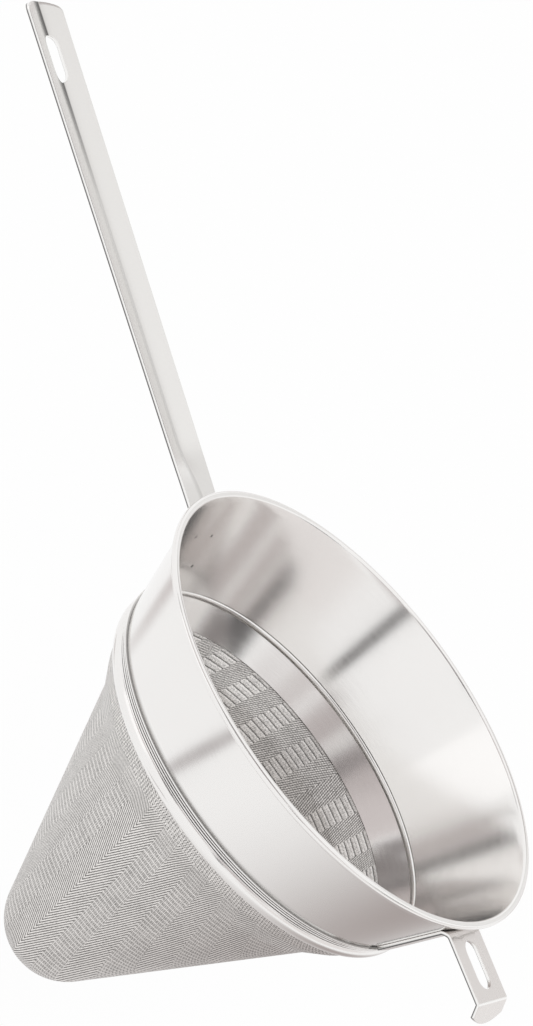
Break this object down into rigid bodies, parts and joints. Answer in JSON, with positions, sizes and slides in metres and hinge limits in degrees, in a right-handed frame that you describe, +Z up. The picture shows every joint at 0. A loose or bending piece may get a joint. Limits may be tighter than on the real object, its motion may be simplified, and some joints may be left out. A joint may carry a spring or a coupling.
{
  "type": "chinois strainer",
  "caption": "Conical wire-cloth strainer with a flared rolled-rim steel collar, a long slotted strip handle and a slotted pan hook opposite it.",
  "frame": {"origin": "centre of the mouth, on the cone's axis and level with the top of the rolled rim", "axes": "+Z up along the cone's axis, out of the open mouth; +X towards the pan hook, so the handle reaches towards -X; +Y completes the right-handed set"},
  "size_m": [0.4366, 0.2, 0.2245],
  "materials": {
    "collar_steel": "polished, with a soft spun grain",
    "wire_cloth": "fine twilled wire cloth, herringbone weave",
    "strip_steel": "polished strip"
  },
  "bodies": {
    "root": {"collar": "collar_steel", "rim_wire": "collar_steel", "lock_ring": "collar_steel", "inner_ring": "collar_steel", "mesh_cone": "wire_cloth", "handle": "strip_steel", "handle_welds": "strip_steel", "hook": "strip_steel", "hook_welds": "strip_steel"}
  },
  "joints": []
}
